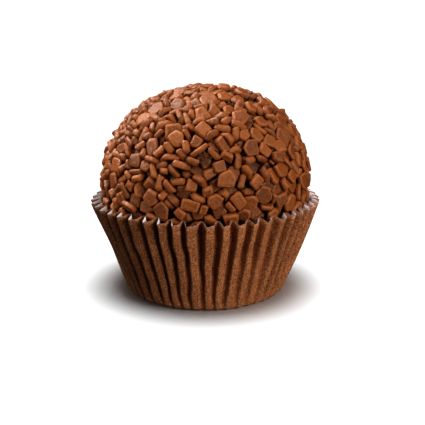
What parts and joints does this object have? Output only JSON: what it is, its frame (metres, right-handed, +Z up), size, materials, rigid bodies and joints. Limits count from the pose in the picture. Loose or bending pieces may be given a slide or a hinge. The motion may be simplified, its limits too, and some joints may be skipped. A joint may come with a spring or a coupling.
{
  "type": "brigadeiro",
  "caption": "Ball of chocolate fudge coated all over in chocolate flakes, standing in a fluted brown paper case.",
  "frame": {"origin": "middle of the case's flat foot, on the surface the sweet stands on", "axes": "+Z up through the ball, -Y the front, +X to the right as seen from the front"},
  "size_m": [0.0352, 0.0352, 0.0315],
  "materials": {
    "brown_paper": "matte",
    "milk_chocolate": "satin"
  },
  "bodies": {
    "root": {"paper_case": "brown_paper", "coated_ball": "milk_chocolate"}
  },
  "joints": []
}
